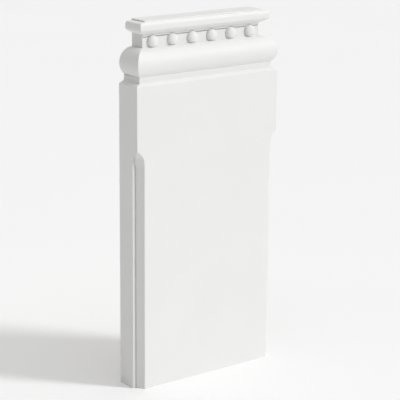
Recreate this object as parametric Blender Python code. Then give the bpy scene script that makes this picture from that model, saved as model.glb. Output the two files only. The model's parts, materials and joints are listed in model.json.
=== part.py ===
"""Pilaster base: a tall flat block with stopped chamfers, under a fillet, a torus, a beaded neck and a cap.

One rigid foam casting with a flat back. Metres, +Z up, the front faces -Y.
The origin is the middle of the bounding box, at the level of the underside.
"""

import math

import bmesh
import bpy
from mathutils import Matrix, Vector

# Driving dimensions, in metres.

# Plinth block, the tall plain part.
BLOCK_WIDTH = 0.200
BLOCK_DEPTH = 0.0350
BLOCK_HEIGHT = 0.3545

# Sloped ledge between the block and the fillet.
LEDGE_RISE = 0.0030

# Fillet, the flat band under the torus, and how far it stands out from the neck.
FILLET_HEIGHT = 0.0061
FILLET_FRONT = 0.0105
FILLET_SIDE = 0.0112

# Torus, the large half round, drawn about a centre on the neck's face, above a small sloped quirk.
TORUS_FRONT = 0.0168
TORUS_SIDE = 0.0172
TORUS_RISE = 0.0169
QUIRK_WIDTH = 0.0004
QUIRK_RISE = 0.0003
TORUS_STEPS = 20

# Neck, the plain band that carries the beads.
NECK_WIDTH = 0.1647
NECK_DEPTH = 0.0197
NECK_HEIGHT = 0.0156

# Beads, a row of flattened balls across the front of the neck, and how far they stand out from it.
BEAD_COUNT = 6
BEAD_DIAMETER = 0.0140
BEAD_RELIEF = 0.0042
BEAD_SINK = 0.0003
BEAD_SEGMENTS = 28
BEAD_RINGS = 18

# Cap, the rounded slab above the neck, and how far it stands out from the neck.
CAP_FRONT = 0.0096
CAP_SIDE = 0.0088
CAP_UNDERSIDE_HEIGHT = 0.0049
CAP_UNDERSIDE_POWER = 1.67
CAP_FACE_HEIGHT = 0.0050
CAP_ROUND_WIDTH = 0.0040
CAP_ROUND_HEIGHT = 0.0034
CAP_STEPS = 8

# Seat, the raised pad on the cap that the pilaster's shaft stands on.
SEAT_WIDTH = 0.1655
SEAT_SETBACK = 0.0007
SEAT_HEIGHT = 0.0022
CAP_TOP_FALL = 0.0003

# Stopped chamfers on the block's two front corners, and the ledge beside each.
CHAMFER_WIDTH = 0.0101
CHAMFER_DEPTH = 0.0093
CHAMFER_LEDGE = 0.0032
CHAMFER_LENGTH = 0.2821

# Each chamfer's stop, where it runs out to the corner.
STOP_LENGTH = 0.0170
STOP_POWER = 2.75
STOP_SIDE_LENGTH = 0.0120
STOP_SIDE_POWER = 2.0
LEDGE_START = 0.0140
LEDGE_LENGTH = 0.0070
LEDGE_POWER = 1.5
STOP_STEPS = 14
STOP_TIP = 0.03
STOP_OVERCUT = 0.0005

# How far a cutter runs past the faces that it cuts.
CUT_MARGIN = 0.005

# Edges sharper than this stay crisp in shading.
SHARP_ANGLE = math.radians(28)

# Foam with a factory coat of primer.
PRIMER_COLOUR = (0.84, 0.84, 0.83, 1.0)
PRIMER_ROUGHNESS = 0.62

# Sizes that follow from those above.
TOTAL_DEPTH = NECK_DEPTH + TORUS_FRONT
BACK_Y = TOTAL_DEPTH / 2
FILLET_BOTTOM_Z = BLOCK_HEIGHT + LEDGE_RISE
FILLET_TOP_Z = FILLET_BOTTOM_Z + FILLET_HEIGHT
TORUS_LOW_ANGLE = -math.acos((FILLET_FRONT - QUIRK_WIDTH) / TORUS_FRONT)
TORUS_CENTRE_Z = FILLET_TOP_Z + QUIRK_RISE - TORUS_RISE * math.sin(TORUS_LOW_ANGLE)
NECK_BOTTOM_Z = TORUS_CENTRE_Z + TORUS_RISE
NECK_TOP_Z = NECK_BOTTOM_Z + NECK_HEIGHT
CAP_FACE_BOTTOM_Z = NECK_TOP_Z + CAP_UNDERSIDE_HEIGHT
CAP_FACE_TOP_Z = CAP_FACE_BOTTOM_Z + CAP_FACE_HEIGHT
CAP_TOP_Z = CAP_FACE_TOP_Z + CAP_ROUND_HEIGHT
SEAT_TOP_Z = CAP_TOP_Z + SEAT_HEIGHT


def clear_scene():
    """Removes the objects of an earlier run."""
    for old in list(bpy.data.objects):
        bpy.data.objects.remove(old, do_unlink=True)


def new_collection(name):
    """Makes a collection in the scene."""
    group = bpy.data.collections.new(name)
    bpy.context.scene.collection.children.link(group)
    return group


def primer_material():
    """White primer on moulded foam."""
    paint = bpy.data.materials.new("white_primer")
    paint.use_nodes = True
    shader = paint.node_tree.nodes["Principled BSDF"]
    shader.inputs["Base Color"].default_value = PRIMER_COLOUR
    shader.inputs["Roughness"].default_value = PRIMER_ROUGHNESS
    shader.inputs["Metallic"].default_value = 0.0
    return paint


def rectangle(half_width, depth, height):
    """One level of the body: a rectangle whose back edge lies on the back plane."""
    front = BACK_Y - depth
    return [
        Vector((-half_width, BACK_Y, height)),
        Vector((half_width, BACK_Y, height)),
        Vector((half_width, front, height)),
        Vector((-half_width, front, height)),
    ]


def around_neck(front, side, height):
    """A level that stands out from the neck by one amount on its front and another on both sides."""
    return rectangle(NECK_WIDTH / 2 + side, NECK_DEPTH + front, height)


def torus_levels():
    """The torus, from the fillet round to the neck."""
    levels = []
    for step in range(TORUS_STEPS + 1):
        angle = TORUS_LOW_ANGLE + (math.pi / 2 - TORUS_LOW_ANGLE) * step / TORUS_STEPS
        height = TORUS_CENTRE_Z + TORUS_RISE * math.sin(angle)
        levels.append(around_neck(TORUS_FRONT * math.cos(angle), TORUS_SIDE * math.cos(angle), height))
    return levels


def cap_levels():
    """The cap: a curved underside, a short upright face and a rounded upper edge."""
    levels = []
    for step in range(CAP_STEPS + 1):
        share = step / CAP_STEPS
        height = NECK_TOP_Z + CAP_UNDERSIDE_HEIGHT * share ** CAP_UNDERSIDE_POWER
        levels.append(around_neck(CAP_FRONT * share, CAP_SIDE * share, height))
    for step in range(CAP_STEPS + 1):
        angle = math.pi / 2 * step / CAP_STEPS
        inset = CAP_ROUND_WIDTH * (1 - math.cos(angle))
        height = CAP_FACE_TOP_Z + CAP_ROUND_HEIGHT * math.sin(angle)
        levels.append(around_neck(CAP_FRONT - inset, CAP_SIDE - inset, height))
    return levels


def seat_levels():
    """The raised seat, almost as deep as the cap's top, which falls away from it."""
    depth = NECK_DEPTH + CAP_FRONT - CAP_ROUND_WIDTH - SEAT_SETBACK
    return [
        rectangle(SEAT_WIDTH / 2, depth, CAP_TOP_Z + CAP_TOP_FALL),
        rectangle(SEAT_WIDTH / 2, depth, SEAT_TOP_Z),
    ]


def body_levels():
    """Every level of the body, from the underside to the seat."""
    levels = [
        rectangle(BLOCK_WIDTH / 2, BLOCK_DEPTH, 0.0),
        rectangle(BLOCK_WIDTH / 2, BLOCK_DEPTH, BLOCK_HEIGHT),
        around_neck(FILLET_FRONT, FILLET_SIDE, FILLET_BOTTOM_Z),
        around_neck(FILLET_FRONT, FILLET_SIDE, FILLET_TOP_Z),
    ]
    return levels + torus_levels() + cap_levels() + seat_levels()


def eased(distance, length, power):
    """A share that rises from 0 to 1 over a length, quickly at first and then ever more slowly."""
    return 1.0 - (1.0 - min(max(distance / length, 0.0), 1.0)) ** power


def chamfer_section(side, below_top):
    """The plan of the corner that a chamfer takes away, at a distance below the tip of its stop.

    The width on the front runs out over a longer stretch than the depth on the side, and the
    ledge beside the chamfer opens only near the foot of the stop.
    """
    width = CHAMFER_WIDTH * max(eased(below_top, STOP_LENGTH, STOP_POWER), STOP_TIP)
    depth = CHAMFER_DEPTH * max(eased(below_top, STOP_SIDE_LENGTH, STOP_SIDE_POWER), STOP_TIP)
    opened = eased(below_top - LEDGE_START, LEDGE_LENGTH, LEDGE_POWER)
    outside = STOP_OVERCUT * (1.0 - opened)
    ledge_inward = CHAMFER_LEDGE * opened - outside
    ledge_depth = depth * (1.0 + outside / width)
    plan = [
        (-CUT_MARGIN, -CUT_MARGIN),
        (width, -CUT_MARGIN),
        (width, 0.0),
        (ledge_inward, ledge_depth),
        (-CUT_MARGIN, ledge_depth),
    ]
    corner = Vector((side * BLOCK_WIDTH / 2, BACK_Y - BLOCK_DEPTH, CHAMFER_LENGTH - below_top))
    return [corner + Vector((-side * inward, backward, 0.0)) for inward, backward in plan]


def chamfer_levels(side):
    """A chamfer's cutter: straight from below the underside, then swept out to the corner."""
    curved = LEDGE_START + LEDGE_LENGTH
    levels = [chamfer_section(side, CHAMFER_LENGTH + CUT_MARGIN)]
    for step in range(STOP_STEPS + 1):
        levels.append(chamfer_section(side, curved * (1.0 - step / STOP_STEPS)))
    return levels


def loft(name, levels, group):
    """Skins a closed solid through the levels in turn and closes both ends."""
    shape = bmesh.new()
    rings = [[shape.verts.new(point) for point in level] for level in levels]
    for lower, upper in zip(rings, rings[1:]):
        for index in range(len(lower)):
            after = (index + 1) % len(lower)
            shape.faces.new((lower[index], lower[after], upper[after], upper[index]))
    shape.faces.new(rings[0])
    shape.faces.new(rings[-1])
    bmesh.ops.recalc_face_normals(shape, faces=shape.faces)
    return finished_object(name, shape, group)


def finished_object(name, shape, group):
    """Turns a shape into an object of a collection."""
    mesh = bpy.data.meshes.new(name)
    shape.to_mesh(mesh)
    shape.free()
    made = bpy.data.objects.new(name, mesh)
    group.objects.link(made)
    return made


def bead_row(group):
    """The beads, one in the middle of each equal share of the neck's width."""
    shape = bmesh.new()
    spacing = NECK_WIDTH / BEAD_COUNT
    centre_y = BACK_Y - NECK_DEPTH
    centre_z = NECK_BOTTOM_Z + BEAD_DIAMETER / 2 - BEAD_SINK
    flatten = Matrix.Diagonal((1.0, BEAD_RELIEF / (BEAD_DIAMETER / 2), 1.0, 1.0))
    for number in range(BEAD_COUNT):
        centre_x = (number - (BEAD_COUNT - 1) / 2) * spacing
        bmesh.ops.create_uvsphere(
            shape,
            u_segments=BEAD_SEGMENTS,
            v_segments=BEAD_RINGS,
            radius=BEAD_DIAMETER / 2,
            matrix=Matrix.Translation((centre_x, centre_y, centre_z)) @ flatten,
        )
    return finished_object("beads", shape, group)


def combine(target, tool, operation):
    """Adds or cuts a tool shape with a Boolean modifier and hides the tool."""
    step = target.modifiers.new(tool.name, "BOOLEAN")
    step.operation = operation
    step.solver = "EXACT"
    step.object = tool
    tool.hide_render = True
    tool.display_type = "WIRE"


def main():
    """Builds the base."""
    clear_scene()
    parts = new_collection("pilaster_base")
    tools = new_collection("cutters")
    base = loft("pilaster_base", body_levels(), parts)
    for side, label in ((-1, "left"), (1, "right")):
        cutter = loft("chamfer_" + label, chamfer_levels(side), tools)
        combine(base, cutter, "DIFFERENCE")
    combine(base, bead_row(tools), "UNION")
    base.data.materials.append(primer_material())
    base.data.shade_smooth()
    base.data.set_sharp_from_angle(angle=SHARP_ANGLE)


main()
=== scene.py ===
# %% [markdown]
# Pilaster base, dressed for its picture.
# The object is one casting of rigid foam with a coat of white primer: a tall plinth block whose front
# corners have stopped chamfers, then a sloping ledge, a fillet, a torus, a neck with a row of beads, a cap
# and a raised seat for the shaft. The lesson makes the run of mouldings first, with softly rounded arrises,
# then the beads with Geometry Nodes, then the primer, and last the floor, the lamps and the camera.

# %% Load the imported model
import json
import math

import bmesh
import bpy
from mathutils import Matrix, Vector

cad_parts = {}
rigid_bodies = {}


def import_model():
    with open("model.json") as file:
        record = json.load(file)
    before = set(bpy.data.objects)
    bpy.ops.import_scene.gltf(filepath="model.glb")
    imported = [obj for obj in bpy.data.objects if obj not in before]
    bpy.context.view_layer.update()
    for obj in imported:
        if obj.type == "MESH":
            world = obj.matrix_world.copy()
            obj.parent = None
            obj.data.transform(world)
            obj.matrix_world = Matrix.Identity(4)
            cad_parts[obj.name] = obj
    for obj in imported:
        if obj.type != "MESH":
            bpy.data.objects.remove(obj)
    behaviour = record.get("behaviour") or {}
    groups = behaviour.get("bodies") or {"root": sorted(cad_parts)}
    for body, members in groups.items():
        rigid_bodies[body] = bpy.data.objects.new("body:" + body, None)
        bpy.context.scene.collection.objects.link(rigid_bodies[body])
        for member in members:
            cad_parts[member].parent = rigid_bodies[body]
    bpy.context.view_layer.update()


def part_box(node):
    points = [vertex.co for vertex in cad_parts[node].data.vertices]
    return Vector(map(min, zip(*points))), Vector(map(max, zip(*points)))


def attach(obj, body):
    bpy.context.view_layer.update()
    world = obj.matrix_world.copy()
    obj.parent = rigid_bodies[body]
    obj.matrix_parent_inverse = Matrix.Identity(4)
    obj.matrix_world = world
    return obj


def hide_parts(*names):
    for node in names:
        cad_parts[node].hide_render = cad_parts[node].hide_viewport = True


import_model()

MM = 0.001
NODE = "pilaster_base"
low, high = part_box(NODE)
print("packed model, mm:", [round(side / MM, 2) for side in high - low])

# %% [markdown]
# Every moulding is a stack of plans. A plan is a rectangle with its back edge on the wall, so one level
# needs only three numbers: half its width, its depth from the wall and its height. The profile that runs
# up the front is then a list of such levels, and the same list serves the two returns at the sides.
# The block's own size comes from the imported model. The mouldings' sizes are the part's, in millimetres,
# and each FRONT or SIDE says how far a member stands out from the neck there. A quirk is the fine groove
# between the fillet and the torus.

# %% Sizes of the block, the fillet and the torus
BLOCK_HALF = high.x
BACK_Y = high.y
BLOCK_DEPTH = 35.0 * MM
BLOCK_TOP = 354.5 * MM
LEDGE_RISE = 3.0 * MM
FILLET_HEIGHT = 6.1 * MM
FILLET_FRONT = 10.5 * MM
FILLET_SIDE = 11.2 * MM
FILLET_BOTTOM = BLOCK_TOP + LEDGE_RISE
FILLET_TOP = FILLET_BOTTOM + FILLET_HEIGHT
QUIRK_WIDTH = 0.4 * MM
QUIRK_RISE = 0.3 * MM
TORUS_FRONT = 16.8 * MM
TORUS_SIDE = 17.2 * MM
TORUS_RISE = 16.9 * MM
# The torus starts a quirk's width behind the fillet's face, and that settles the angle of its foot.
TORUS_FOOT_ANGLE = -math.acos((FILLET_FRONT - QUIRK_WIDTH) / TORUS_FRONT)
TORUS_CENTRE = FILLET_TOP + QUIRK_RISE - TORUS_RISE * math.sin(TORUS_FOOT_ANGLE)
print("torus centre at", round(TORUS_CENTRE / MM, 2), "mm")

# %% Sizes of the neck, the cap and the seat
NECK_HALF = 82.35 * MM
NECK_DEPTH = 19.7 * MM
NECK_HEIGHT = 15.6 * MM
NECK_BOTTOM = TORUS_CENTRE + TORUS_RISE
NECK_TOP = NECK_BOTTOM + NECK_HEIGHT
COVE_HEIGHT = 3.0 * MM
COVE_FOOT_WIDTH = 0.5 * MM
COVE_TOP_WIDTH = 1.2 * MM
UNDERSIDE_HEIGHT = 4.9 * MM
UNDERSIDE_POWER = 1.67
CAP_FRONT = 9.6 * MM
CAP_SIDE = 8.8 * MM
CAP_FACE_HEIGHT = 5.0 * MM
CAP_FACE_BOTTOM = NECK_TOP + UNDERSIDE_HEIGHT
CAP_FACE_TOP = CAP_FACE_BOTTOM + CAP_FACE_HEIGHT
CAP_ROUND_WIDTH = 4.0 * MM
CAP_ROUND_HEIGHT = 3.4 * MM
CAP_TOP = CAP_FACE_TOP + CAP_ROUND_HEIGHT
CAP_TOP_FALL = 0.3 * MM
SEAT_HALF = 82.75 * MM
SEAT_SETBACK = 0.7 * MM
SEAT_TOP = high.z
print("neck from", round(NECK_BOTTOM / MM, 2), "to", round(NECK_TOP / MM, 2), "mm")

# %% [markdown]
# A casting has no knife edges: the mould's corners are a little round, and primer fills them further.
# A Bevel modifier could do this, but it struggles where a curved torus meets a mitre. So each corner is
# rounded while the outline is still a list of points: a rational curve that is an exact arc of a circle,
# whatever the corner's angle. It starts and ends at a set distance from the corner, its setback, and one
# more point on each side holds the shading of the flat faces beside it. A rounding takes less than half of
# the leg that it shares with the next corner, so that two of them never meet.

# %% Round a corner of an outline
def rounded(before, corner, after, setback, steps):
    """Points of a circular arc in place of a corner."""
    inward = (before - corner).normalized()
    onward = (after - corner).normalized()
    turn = math.pi - inward.angle(onward)
    pull = math.cos(turn / 2)
    first, last = corner + inward * setback, corner + onward * setback
    points = []
    for step in range(steps + 1):
        t = step / steps
        weights = ((1 - t) ** 2, 2 * t * (1 - t) * pull, t ** 2)
        points.append((first * weights[0] + corner * weights[1] + last * weights[2]) / sum(weights))
    return points


ARRIS_STEPS = 5
SUPPORT = 0.35 * MM
# How much of a leg one corner may take, and how much of that may be the arc itself.
LEG_SHARE = 0.48
ROUND_SHARE = 0.7


def reach(corner, neighbour, setback):
    """How far a rounding and its support point may run along one leg."""
    return min(setback + SUPPORT, (neighbour - corner).length * LEG_SHARE)


def outline(corners):
    """Runs through (point, setback) pairs; a corner with no setback stays as it is."""
    points = []
    for index, (corner, setback) in enumerate(corners):
        if not setback:
            points.append(corner)
            continue
        before, after = corners[index - 1][0], corners[index + 1][0]
        back, ahead = reach(corner, before, setback), reach(corner, after, setback)
        start = min(setback, back * ROUND_SHARE, ahead * ROUND_SHARE)
        points.append(corner + (before - corner).normalized() * back)
        points.extend(rounded(before, corner, after, start, ARRIS_STEPS))
        points.append(corner + (after - corner).normalized() * ahead)
    return points


# %% [markdown]
# The profile is written from the underside to the seat. Straight members are corners with a setback, and
# the torus and the cap's two curves are formulas, because a few typed points would show as flats. Right
# under the cap the neck's front steps out a little, as a small cove. Concave corners are rounded too,
# because primer pools there.

# %% Curves of the torus and the cap
TORUS_STEPS = 44
CAP_STEPS = 12
# The first and the last steps of the underside are left to the roundings at the neck and at the nose.
FIRST_UNDERSIDE_STEP, UNDERSIDE_STEPS = 3, 10


def around_neck(front, side, height):
    """A level that stands out from the neck by one amount in front and another at the sides."""
    return Vector((NECK_HALF + side, NECK_DEPTH + front, height))


def torus_points():
    """The large half round, as part of an ellipse."""
    points = []
    for step in range(TORUS_STEPS + 1):
        angle = TORUS_FOOT_ANGLE + (math.pi / 2 - TORUS_FOOT_ANGLE) * step / TORUS_STEPS
        height = TORUS_CENTRE + TORUS_RISE * math.sin(angle)
        points.append(around_neck(TORUS_FRONT * math.cos(angle), TORUS_SIDE * math.cos(angle), height))
    return points


def underside_points():
    """The cap's underside, level at the neck and steeper towards the nose."""
    points = []
    for step in range(FIRST_UNDERSIDE_STEP, UNDERSIDE_STEPS):
        share = step / CAP_STEPS
        height = NECK_TOP + UNDERSIDE_HEIGHT * share ** UNDERSIDE_POWER
        points.append(around_neck(CAP_FRONT * share, CAP_SIDE * share, height))
    return points


def nose_points():
    """The cap's rounded upper edge."""
    points = []
    for step in range(CAP_STEPS + 1):
        angle = math.pi / 2 * step / CAP_STEPS
        inset = CAP_ROUND_WIDTH * (1 - math.cos(angle))
        height = CAP_FACE_TOP + CAP_ROUND_HEIGHT * math.sin(angle)
        points.append(around_neck(CAP_FRONT - inset, CAP_SIDE - inset, height))
    return points


# %% Profile of the mouldings
CREASE = 0.1 * MM
SHARP_ARRIS = 0.35 * MM
SOFT_ARRIS = 0.7 * MM
NOSE_ARRIS = 1.3 * MM
# A step onto the flat underside or the flat seat, so that their edges have a neighbour and can be rounded.
ONTO_FLAT = Vector((-6.0 * MM, -6.0 * MM, 0.0))

block = Vector((BLOCK_HALF, BLOCK_DEPTH, 0.0))
seat = Vector((SEAT_HALF, NECK_DEPTH + CAP_FRONT - CAP_ROUND_WIDTH - SEAT_SETBACK, 0.0))


def at(level, height):
    """The same level at another height."""
    return Vector((level.x, level.y, height))


profile = outline(
    [
        (block + ONTO_FLAT, 0),
        (block, SHARP_ARRIS),
        (at(block, BLOCK_TOP), SOFT_ARRIS),
        (around_neck(FILLET_FRONT, FILLET_SIDE, FILLET_BOTTOM), SHARP_ARRIS),
        (around_neck(FILLET_FRONT, FILLET_SIDE, FILLET_TOP), SHARP_ARRIS),
    ]
    + [(point, 0) for point in torus_points()[:-1]]
    + [
        (around_neck(0, 0, NECK_BOTTOM), SHARP_ARRIS),
        (around_neck(0, 0, NECK_TOP - COVE_HEIGHT), CREASE),
        (around_neck(COVE_FOOT_WIDTH, 0, NECK_TOP - COVE_HEIGHT), CREASE),
        (around_neck(COVE_TOP_WIDTH, 0, NECK_TOP), SHARP_ARRIS),
    ]
    + [(point, 0) for point in underside_points()]
    + [(around_neck(CAP_FRONT, CAP_SIDE, CAP_FACE_BOTTOM), NOSE_ARRIS)]
    + [(point, 0) for point in nose_points()]
    + [
        (at(seat, CAP_TOP + CAP_TOP_FALL), SHARP_ARRIS),
        (at(seat, SEAT_TOP), SHARP_ARRIS),
        (at(seat + ONTO_FLAT, SEAT_TOP), 0),
    ]
)
# The flat underside and the flat seat have no levels of their own, only the outer rings that close them.
profile = profile[2:-2]
print(len(profile), "levels from the underside to the seat")

# %% [markdown]
# The two front corners of the block are chamfered up to a stop, where a cutter was lifted out in a curve.
# The chamfer's width on the front, its depth on the side, the small ledge beside it and the fine groove in
# its inner corner each fade by their own law. A Boolean with a cutter's shape could do this too, but it
# leaves thin slivers where the stop runs out. Here the corner is part of every plan, and above the stop it
# is only as deep as an arris, so one plan serves the block and the mouldings, and all levels have the same
# number of points.

# %% Sizes of the chamfers and their stops
CHAMFER_LENGTH = 282.1 * MM
CHAMFER_WIDTH = 10.1 * MM
CHAMFER_DEPTH = 9.3 * MM
MITRE_CUT = 0.4 * MM
STOP_LENGTH, STOP_POWER = 17.0 * MM, 2.75
STOP_SIDE_LENGTH, STOP_SIDE_POWER = 12.0 * MM, 2.0
STOP_STEPS = 36
SIDE_LEDGE = 3.6 * MM
SIDE_LEDGE_START, SIDE_LEDGE_LENGTH, SIDE_LEDGE_POWER = 14.0 * MM, 7.0 * MM, 1.5
GROOVE_DEPTH, LEAST_GROOVE = 1.8 * MM, 0.02 * MM
GROOVE_LENGTH, GROOVE_POWER = 7.0 * MM, 2.0
GROOVE_LEAN = 0.2
# How far along the slope the ledge's end lies when it is closed, and the groove's lip past that end.
CLOSED_LEDGE_SHARE = 0.1
GROOVE_SHARE, CLOSED_GROOVE_SHARE = 0.1, 0.1
BACK_ARRIS = 0.25 * MM
print("chamfers end at", round(CHAMFER_LENGTH / MM, 1), "mm")


# %% Plan of one level
def eased(distance, length, power):
    """A share that rises from 0 to 1 over a length, quickly at first and then ever more slowly."""
    return 1.0 - (1.0 - min(max(distance / length, 0.0), 1.0)) ** power


def half_plan(level):
    """One level's outline on the right, from the middle of the back to the middle of the front."""
    below = CHAMFER_LENGTH - level.z
    width = max(CHAMFER_WIDTH * eased(below, STOP_LENGTH, STOP_POWER), MITRE_CUT)
    depth = max(CHAMFER_DEPTH * eased(below, STOP_SIDE_LENGTH, STOP_SIDE_POWER), MITRE_CUT)
    groove = max(GROOVE_DEPTH * eased(below, GROOVE_LENGTH, GROOVE_POWER), LEAST_GROOVE)
    opened = eased(below - SIDE_LEDGE_START, SIDE_LEDGE_LENGTH, SIDE_LEDGE_POWER)
    front = BACK_Y - level.y
    side_edge = Vector((level.x, front + depth))
    front_edge = Vector((level.x - width, front))
    closed_ledge = side_edge.lerp(front_edge, CLOSED_LEDGE_SHARE)
    ledge_end = closed_ledge.lerp(Vector((level.x - SIDE_LEDGE, front + depth)), opened)
    groove_foot = ledge_end + Vector((-GROOVE_LEAN * groove, groove))
    slope_start = ledge_end.lerp(front_edge, GROOVE_SHARE * groove / GROOVE_DEPTH + CLOSED_GROOVE_SHARE)
    return outline([
        (Vector((0.0, BACK_Y)), 0),
        (Vector((level.x, BACK_Y)), BACK_ARRIS),
        (side_edge, SOFT_ARRIS),
        (ledge_end, CREASE),
        (groove_foot, CREASE),
        (slope_start, CREASE),
        (front_edge, SOFT_ARRIS),
        (Vector((0.0, front)), 0),
    ])


def plan(level):
    """The whole outline, all the way round."""
    right = half_plan(level)
    left = [Vector((-point.x, point.y)) for point in reversed(right[1:-1])]
    return [Vector((point.x, point.y, level.z)) for point in right + left]


def with_stop(levels):
    """The levels, with closer ones added where the chamfers stop."""
    curved = SIDE_LEDGE_START + SIDE_LEDGE_LENGTH
    extra = [at(block, CHAMFER_LENGTH - curved * step / STOP_STEPS) for step in range(STOP_STEPS + 1)]
    foot = [level for level in levels if level.z < CHAMFER_LENGTH]
    return foot + sorted(extra, key=lambda level: level.z) + levels[len(foot):]


print("each level has", len(plan(block)), "points")

# %% [markdown]
# A skin over the levels is the moulding itself. Extruding or a Solidify modifier would give one width all
# the way up, while here the block, the torus and the cap differ, so bmesh joins each ring of points to the
# next by a band of faces, and closes the first and the last ring with one flat face each.

# %% Skin the moulding
def link_object(name, data):
    """Puts a mesh, a lamp or a camera in the scene as an object."""
    made = bpy.data.objects.new(name, data)
    bpy.context.scene.collection.objects.link(made)
    return made


def solid(name, shape):
    """Turns a closed bmesh into an object whose faces point outwards."""
    bmesh.ops.recalc_face_normals(shape, faces=shape.faces)
    mesh = bpy.data.meshes.new(name)
    shape.to_mesh(mesh)
    shape.free()
    return link_object(name, mesh)


def skin(name, rings):
    """A closed mesh through rings of equal length, with a flat face at each end."""
    shape = bmesh.new()
    loops = [[shape.verts.new(point) for point in ring] for ring in rings]
    for lower, upper in zip(loops, loops[1:]):
        for index in range(len(lower)):
            after = (index + 1) % len(lower)
            shape.faces.new((lower[index], lower[after], upper[after], upper[index]))
    shape.faces.new(loops[0])
    shape.faces.new(loops[-1])
    return solid(name, shape)


body = skin("moulded_body", [plan(level) for level in with_stop(profile)])
print("body:", len(body.data.vertices), "vertices,", len(body.data.polygons), "faces")

# %% [markdown]
# The beads are flattened balls that stand a few millimetres out of the neck. Each sits in a shallow round
# pocket a little wider than itself, as a bead cutter would leave it in the plaster master, and that margin
# draws its dark outline. A UV sphere would waste its faces inside the neck, so a bead and a pocket are each
# a profile spun round its own axis.

# %% One bead and its pocket
BEAD_RADIUS = 7.0 * MM
BEAD_RELIEF = 4.2 * MM
BEAD_FOOT = 2.0 * MM
BEAD_RINGS = 20
BEAD_SEGMENTS = 56
POCKET_MARGIN = 0.45 * MM
POCKET_RADIUS = BEAD_RADIUS + POCKET_MARGIN
POCKET_DEPTH = 0.6 * MM
CUTTER_REACH = 1.3 * MM
WELD = 0.001 * MM


def turned(name, line):
    """A closed solid of revolution about the Y axis from (radius, height) pairs, heights towards -Y."""
    shape = bmesh.new()
    points = [shape.verts.new((away, -height, 0.0)) for away, height in line]
    edges = [shape.edges.new(pair) for pair in zip(points, points[1:])]
    bmesh.ops.spin(
        shape, geom=points + edges, axis=(0, 1, 0), cent=(0, 0, 0), steps=BEAD_SEGMENTS, angle=math.tau
    )
    bmesh.ops.remove_doubles(shape, verts=shape.verts, dist=WELD)
    return solid(name, shape)


def bead_line():
    """From the bead's tip down its quarter ellipse, then straight into the neck."""
    points = []
    for step in range(BEAD_RINGS + 1):
        angle = math.pi / 2 * (1 - step / BEAD_RINGS)
        points.append((BEAD_RADIUS * math.cos(angle), BEAD_RELIEF * math.sin(angle)))
    return points + [(BEAD_RADIUS, -BEAD_FOOT), (0.0, -BEAD_FOOT)]


def pocket_line():
    """A flat disc that reaches out of the neck, so that its cut has a clean rim."""
    return [
        (0.0, CUTTER_REACH), (POCKET_RADIUS, CUTTER_REACH),
        (POCKET_RADIUS, -POCKET_DEPTH), (0.0, -POCKET_DEPTH),
    ]


bead = turned("bead", bead_line())
pocket = turned("pocket", pocket_line())
print("bead:", len(bead.data.polygons), "faces, pocket:", len(pocket.data.polygons), "faces")

# %% [markdown]
# A thin dark line runs along the neck's front, just under the cove, and stops short of the corners. It is
# made as a narrow slot, a box that is cut out of the neck. In the profile it would run round the returns
# as well.

# %% The slot under the cove
SLOT_HEIGHT = 1.0 * MM
SLOT_DEPTH = 2.0 * MM
SLOT_END = 1.4 * MM


def box(name, near, far):
    """A box between two corners."""
    shape = bmesh.new()
    middle, size = (near + far) / 2, far - near
    stretch = Matrix.Diagonal((*size, 1.0))
    bmesh.ops.create_cube(shape, size=1.0, matrix=Matrix.Translation(middle) @ stretch)
    return solid(name, shape)


neck_face = BACK_Y - NECK_DEPTH
slot_half = NECK_HALF - SLOT_END
slot_top = NECK_TOP - COVE_HEIGHT
slot = box(
    "slot",
    Vector((-slot_half, neck_face - CUTTER_REACH, slot_top - SLOT_HEIGHT)),
    Vector((slot_half, neck_face + SLOT_DEPTH, slot_top)),
)
print("slot, mm:", [round(side / MM, 1) for side in slot.dimensions])

# %% [markdown]
# Nodes are added by one small function, for the beads' tree and for the materials alike. A value that is a
# socket becomes a link, and anything else becomes the input's own value. A Mix node holds a set of sockets
# for each kind of value under the same names, so the ones in use are told apart by their places.

# %% Helpers for nodes
FLOAT_A, FLOAT_B, MIXED_FLOAT = 2, 3, 0
COLOUR_A, COLOUR_B, MIXED_COLOUR = 6, 7, 2


def set_inputs(tree, node, inputs):
    """Links or sets the inputs of a node."""
    for name, value in inputs.items():
        socket = node.inputs[name]
        if isinstance(value, bpy.types.NodeSocket):
            tree.links.new(value, socket)
        else:
            socket.default_value = value


def add_node(tree, kind, settings=None, inputs=None):
    """Adds a node, sets its properties, and links or sets its inputs."""
    node = tree.nodes.new(kind)
    for name, value in (settings or {}).items():
        setattr(node, name, value)
    set_inputs(tree, node, inputs or {})
    return node


# %% [markdown]
# The row of beads repeats, so Geometry Nodes set it out: a line of points along the neck, a pocket cut out
# at each together with the slot, and a bead set in each pocket. An Array modifier would repeat the beads as
# well, but it would leave them as loose shells. The tree ends in a union with the body, because on the real
# object they are one casting. The exact solver is used, since it keeps the flat faces as they are.

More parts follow.
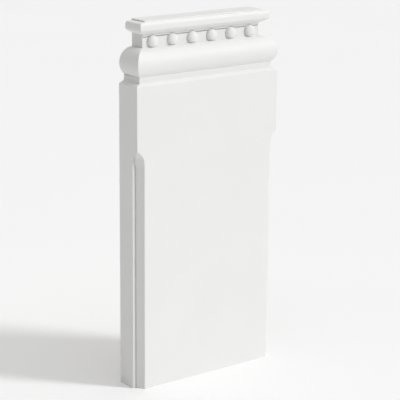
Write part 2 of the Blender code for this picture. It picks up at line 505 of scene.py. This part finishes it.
# %% A tree that sets beads on the neck
def bead_row_tree():
    """Cuts the pockets and the slot, sets a row of beads in the pockets and joins it all."""
    tree = bpy.data.node_groups.new("bead_row", "GeometryNodeTree")
    wanted = (
        ("Body", "NodeSocketGeometry"),
        ("Bead", "NodeSocketObject"),
        ("Pocket", "NodeSocketObject"),
        ("Slot", "NodeSocketObject"),
        ("Count", "NodeSocketInt"),
        ("Spacing", "NodeSocketFloat"),
        ("First Bead", "NodeSocketVector"),
        ("Finish", "NodeSocketMaterial"),
    )
    for name, kind in wanted:
        tree.interface.new_socket(name, in_out="INPUT", socket_type=kind)
    tree.interface.new_socket("Moulding", in_out="OUTPUT", socket_type="NodeSocketGeometry")
    given = add_node(tree, "NodeGroupInput").outputs
    offset = add_node(tree, "ShaderNodeCombineXYZ", inputs={"X": given["Spacing"]})
    line = add_node(
        tree, "GeometryNodeMeshLine", {"mode": "OFFSET"},
        {"Count": given["Count"], "Start Location": given["First Bead"], "Offset": offset.outputs[0]},
    )

    def shape_of(piece):
        """The geometry of one of the given objects."""
        found = add_node(tree, "GeometryNodeObjectInfo", inputs={"Object": given[piece]})
        return found.outputs["Geometry"]

    def row_of(piece):
        """That shape on every point of the line, as plain geometry."""
        row = add_node(
            tree, "GeometryNodeInstanceOnPoints",
            inputs={"Points": line.outputs[0], "Instance": shape_of(piece)},
        )
        plain = add_node(tree, "GeometryNodeRealizeInstances", inputs={"Geometry": row.outputs[0]})
        return plain.outputs[0]

    hollowed = add_node(
        tree, "GeometryNodeMeshBoolean", {"operation": "DIFFERENCE", "solver": "EXACT"},
        {"Mesh 1": given["Body"], "Mesh 2": row_of("Pocket")},
    )
    set_inputs(tree, hollowed, {"Mesh 2": shape_of("Slot")})
    joined = add_node(
        tree, "GeometryNodeMeshBoolean", {"operation": "UNION", "solver": "EXACT"},
        {"Mesh 2": hollowed.outputs["Mesh"]},
    )
    set_inputs(tree, joined, {"Mesh 2": row_of("Bead")})
    whole = add_node(tree, "GeometryNodeRealizeInstances", inputs={"Geometry": joined.outputs["Mesh"]})
    finished = add_node(
        tree, "GeometryNodeSetMaterial",
        inputs={"Geometry": whole.outputs[0], "Material": given["Finish"]},
    )
    add_node(tree, "NodeGroupOutput", inputs={"Moulding": finished.outputs[0]})
    return tree


bead_row = bead_row_tree()
print("tree:", bead_row.name, "with", len(bead_row.nodes), "nodes")

# %% [markdown]
# The finish is rigid polyurethane foam from a closed mould with a factory coat of matt white primer. The
# skin against the mould is dense and smooth. The primer leaves a faint orange peel and is never quite
# even, so its tone wanders by a percent or two and its sheen a little more. The flat back was planed and
# never primed: it is duller, a touch creamier, and shows the open cells of the foam. These are drawn larger
# than the few tenths of a millimetre of real ones, because such fine ones wouldn't show.

# %% Colours and sizes of the finish
def linear(hex_colour):
    """Turns an sRGB hex colour into linear light with full opacity, by the curve that sRGB defines."""
    channels = []
    for place in (0, 2, 4):
        value = int(hex_colour[place:place + 2], 16) / 255
        channels.append(value / 12.92 if value <= 0.04045 else ((value + 0.055) / 1.055) ** 2.4)
    return (*channels, 1.0)


PRIMER_LIGHT = "EFEFEE"
PRIMER_DARK = "EAEAE8"
BARE_FOAM = "EDE8DA"
SMOOTHEST_PRIMER, ROUGHEST_PRIMER = 0.52, 0.66
BARE_ROUGHNESS = 0.85
PRIMER_IOR = 1.46
# Each noise has the size of its patches, how many finer layers it has, and how strong these are.
CLOUDS = (60.0 * MM, 3.0, 0.55)
PEEL = (1.6 * MM, 2.0, 0.5)
WAVES = (30.0 * MM, 1.0, 0.4)
CELL_SIZE = 0.9 * MM
# Each bump has its strength and its depth.
PEEL_BUMP = (0.35, 0.02 * MM)
WAVE_BUMP = (0.5, 0.06 * MM)
CELL_BUMP = (0.5, 0.15 * MM)
PLANED_SKIN = 0.05 * MM
print("primer between", PRIMER_DARK, "and", PRIMER_LIGHT, "over foam of", BARE_FOAM)

# %% [markdown]
# One material serves the whole casting, since it is one piece. The planed back is told from the primed
# faces by its place, with the object's own coordinates, so that no second mesh or slot is needed. Clouds
# of tone tint the colour and the sheen, and three bumps are laid on each other: the peel, the slow waves of
# a moulded skin, and the cells on the back.

# %% The primed foam
def primed_foam():
    """Matt white primer on moulded foam, bare and planed at the back."""
    material = bpy.data.materials.new("primed_rigid_polyurethane_foam")
    material.use_nodes = True
    tree = material.node_tree
    place = add_node(tree, "ShaderNodeTexCoord").outputs["Object"]
    clouds, peel, waves = (
        add_node(
            tree, "ShaderNodeTexNoise",
            inputs={"Vector": place, "Scale": 1 / size, "Detail": layers, "Roughness": strength},
        ).outputs["Fac"]
        for size, layers, strength in (CLOUDS, PEEL, WAVES)
    )
    cells = add_node(tree, "ShaderNodeTexVoronoi", inputs={"Vector": place, "Scale": 1 / CELL_SIZE})
    parts = add_node(tree, "ShaderNodeSeparateXYZ", inputs={"Vector": place})
    planed = add_node(
        tree, "ShaderNodeMath", {"operation": "GREATER_THAN"},
        {0: parts.outputs["Y"], 1: BACK_Y - PLANED_SKIN},
    ).outputs[0]
    cell_walls = add_node(
        tree, "ShaderNodeMath", {"operation": "MULTIPLY"},
        {0: cells.outputs["Distance"], 1: planed},
    ).outputs[0]
    primer = add_node(
        tree, "ShaderNodeMix", {"data_type": "RGBA"},
        {"Factor": clouds, COLOUR_A: linear(PRIMER_DARK), COLOUR_B: linear(PRIMER_LIGHT)},
    )
    colour = add_node(
        tree, "ShaderNodeMix", {"data_type": "RGBA"},
        {"Factor": planed, COLOUR_A: primer.outputs[MIXED_COLOUR], COLOUR_B: linear(BARE_FOAM)},
    )
    sheen = add_node(
        tree, "ShaderNodeMapRange",
        inputs={"Value": clouds, "To Min": SMOOTHEST_PRIMER, "To Max": ROUGHEST_PRIMER},
    )
    roughness = add_node(
        tree, "ShaderNodeMix",
        inputs={"Factor": planed, FLOAT_A: sheen.outputs[0], FLOAT_B: BARE_ROUGHNESS},
    )

    below = {}
    for height, (strength, depth) in ((peel, PEEL_BUMP), (waves, WAVE_BUMP), (cell_walls, CELL_BUMP)):
        bump = add_node(
            tree, "ShaderNodeBump",
            inputs={"Strength": strength, "Distance": depth, "Height": height, **below},
        )
        below = {"Normal": bump.outputs["Normal"]}
    set_inputs(tree, tree.nodes["Principled BSDF"], {
        "Base Color": colour.outputs[MIXED_COLOUR], "Roughness": roughness.outputs[MIXED_FLOAT],
        "IOR": PRIMER_IOR, "Metallic": 0.0, **below,
    })
    return material


foam = primed_foam()
print("finish:", foam.name)

# %% [markdown]
# The tree runs as a modifier on the body, and the result is kept as a plain mesh, so that an export
# finds the beads in it. The spacing is the neck's width shared out equally, so a wider neck spreads the
# beads by itself, and they stand on the torus, sunk a little way into it. Edges that turn by more than the
# sharp angle break the shading, and the arrises stay soft.

# %% Join the beads to the body
BEAD_COUNT = 6
BEAD_SINK = 0.3 * MM
SHARP_ANGLE = 40
bead_spacing = 2 * NECK_HALF / BEAD_COUNT
first_bead = Vector((
    -bead_spacing * (BEAD_COUNT - 1) / 2,
    neck_face,
    NECK_BOTTOM + BEAD_RADIUS - BEAD_SINK,
))


def finished_mesh(source, tree, values, name):
    """Runs a geometry tree on an object and keeps the result as a plain mesh."""
    step = source.modifiers.new(tree.name, "NODES")
    step.node_group = tree
    for item in tree.interface.items_tree:
        if item.in_out == "INPUT" and item.name in values:
            step[item.identifier] = values[item.name]
    bpy.context.view_layer.update()
    evaluated = source.evaluated_get(bpy.context.evaluated_depsgraph_get())
    return link_object(name, bpy.data.meshes.new_from_object(evaluated))


moulding = finished_mesh(
    body, bead_row,
    {
        "Bead": bead, "Pocket": pocket, "Slot": slot, "Count": BEAD_COUNT, "Spacing": bead_spacing,
        "First Bead": first_bead, "Finish": foam,
    },
    "primed_moulding",
)
for used in (body, bead, pocket, slot):
    bpy.data.objects.remove(used)
moulding.data.shade_smooth()
moulding.data.set_sharp_from_angle(angle=math.radians(SHARP_ANGLE))
print("moulding:", len(moulding.data.polygons), "faces in", moulding.data.materials[0].name)

# %% [markdown]
# Weighted normals let the large flat faces keep a flat shade, so that only the small faces of each arris
# turn the light. Without them the flats beside an arris would look slightly pillowed.

# %% Shade the arrises
FLAT_WEIGHT = 80
hold_flats = moulding.modifiers.new("weighted_normals", "WEIGHTED_NORMAL")
hold_flats.weight = FLAT_WEIGHT
hold_flats.keep_sharp = True

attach(moulding, "root")
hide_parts(NODE)
print("piece:", moulding.name, "in place of", NODE)

# %% [markdown]
# The setting is a plain pale floor that runs past the picture's edges, in soft studio light. It is one flat
# square, since no edge or curve of it is seen. White paint on white needs its greys kept apart, so the tone
# curve is the plain one: the filmic curve would press them together.

# %% Floor
FLOOR_HALF = 12.0
FLOOR_LIGHT, FLOOR_DARK = "F8F8F8", "F6F6F6"
FLOOR_ROUGHNESS = 0.9
PATCHES_PER_METRE = 3.0


def matt_floor():
    """A pale painted studio floor, with a trace of unevenness in its tone."""
    material = bpy.data.materials.new("pale_studio_paint")
    material.use_nodes = True
    tree = material.node_tree
    place = add_node(tree, "ShaderNodeTexCoord").outputs["Object"]
    cloud = add_node(tree, "ShaderNodeTexNoise", inputs={"Vector": place, "Scale": PATCHES_PER_METRE})
    colour = add_node(
        tree, "ShaderNodeMix", {"data_type": "RGBA"},
        {"Factor": cloud.outputs["Fac"], COLOUR_A: linear(FLOOR_DARK), COLOUR_B: linear(FLOOR_LIGHT)},
    )
    set_inputs(tree, tree.nodes["Principled BSDF"], {
        "Base Color": colour.outputs[MIXED_COLOUR], "Roughness": FLOOR_ROUGHNESS,
    })
    return material


def add_floor():
    """One flat square under the object."""
    mesh = bpy.data.meshes.new("studio_floor")
    corners = [(-1, -1), (1, -1), (1, 1), (-1, 1)]
    mesh.from_pydata([(x * FLOOR_HALF, y * FLOOR_HALF, low.z) for x, y in corners], [], [(0, 1, 2, 3)])
    mesh.materials.append(matt_floor())
    return link_object("studio_floor", mesh)


add_floor()
bpy.context.scene.view_settings.view_transform = "Standard"
print("floor, m:", 2 * FLOOR_HALF, "square")

# %% [markdown]
# A ceiling of diffusers and one large window are what a white casting is pictured under. Area lamps close
# by would light the floor in a pool, so both are sun lamps with a wide disc: their light doesn't fall off,
# the floor stays even and the shadows stay soft. The window stands to the right, past the chamfers' own
# slope, so the left return and the left chamfer are lit by the ceiling and the floor alone, and the beads
# cast their shade down to the left.

# %% Lamps
ROOM_WHITE = "FFFFFF"
ROOM_STRENGTH = 0.12


def add_lamp(name, azimuth, elevation, spread, strength):
    """A distant soft lamp; azimuth 0 is in front and turns towards +X, and spread is its disc's angle."""
    turn, rise = math.radians(azimuth), math.radians(elevation)
    away = Vector((math.sin(turn) * math.cos(rise), -math.cos(turn) * math.cos(rise), math.sin(rise)))
    data = bpy.data.lights.new(name, "SUN")
    data.angle = math.radians(spread)
    data.energy = strength
    lamp = link_object(name, data)
    lamp.rotation_euler = (-away).to_track_quat("-Z", "Y").to_euler()
    return lamp


ceiling = add_lamp("ceiling_diffuser", azimuth=0, elevation=90, spread=90, strength=1.82)
window = add_lamp("window", azimuth=42, elevation=30, spread=12, strength=1.83)
world = bpy.data.worlds.new("soft_room")
world.use_nodes = True
set_inputs(world.node_tree, world.node_tree.nodes["Background"], {
    "Color": linear(ROOM_WHITE), "Strength": ROOM_STRENGTH,
})
bpy.context.scene.world = world
print("lamps:", ceiling.name, "and", window.name)

# %% [markdown]
# The camera stands in front on the left, a little above the object, with a long lens. It could be turned
# until the picture looks right, but its place and direction come from matching the block's corners and the
# mouldings' edges with the photograph, so that every edge falls where it should.

# %% Camera
CAMERA_PLACE = Vector((-1065.54, -1402.95, 679.19)) * MM
CAMERA_YAW, CAMERA_PITCH, CAMERA_ROLL = 37.23, 14.963, 0.459
FOCAL_PIXELS = 1567.86
IMAGE_WIDTH = 400
SENSOR = 36.0


def add_camera():
    """A camera that looks along a yaw from +Y towards +X, pitched down and rolled."""
    yaw, pitch, roll = (math.radians(value) for value in (CAMERA_YAW, CAMERA_PITCH, CAMERA_ROLL))
    forward = Vector((math.sin(yaw) * math.cos(pitch), math.cos(yaw) * math.cos(pitch), -math.sin(pitch)))
    right = Vector((math.cos(yaw), -math.sin(yaw), 0.0))
    up = right.cross(forward)
    rolled_right = right * math.cos(roll) + up * math.sin(roll)
    rolled_up = up * math.cos(roll) - right * math.sin(roll)
    axes = Matrix((rolled_right, rolled_up, -forward)).transposed()
    data = bpy.data.cameras.new("camera")
    data.sensor_width = SENSOR
    data.lens = FOCAL_PIXELS * SENSOR / IMAGE_WIDTH
    made = link_object("camera", data)
    made.matrix_world = Matrix.Translation(CAMERA_PLACE) @ axes.to_4x4()
    return made


camera = add_camera()
bpy.context.scene.camera = camera
print("lens, mm:", round(camera.data.lens, 1))
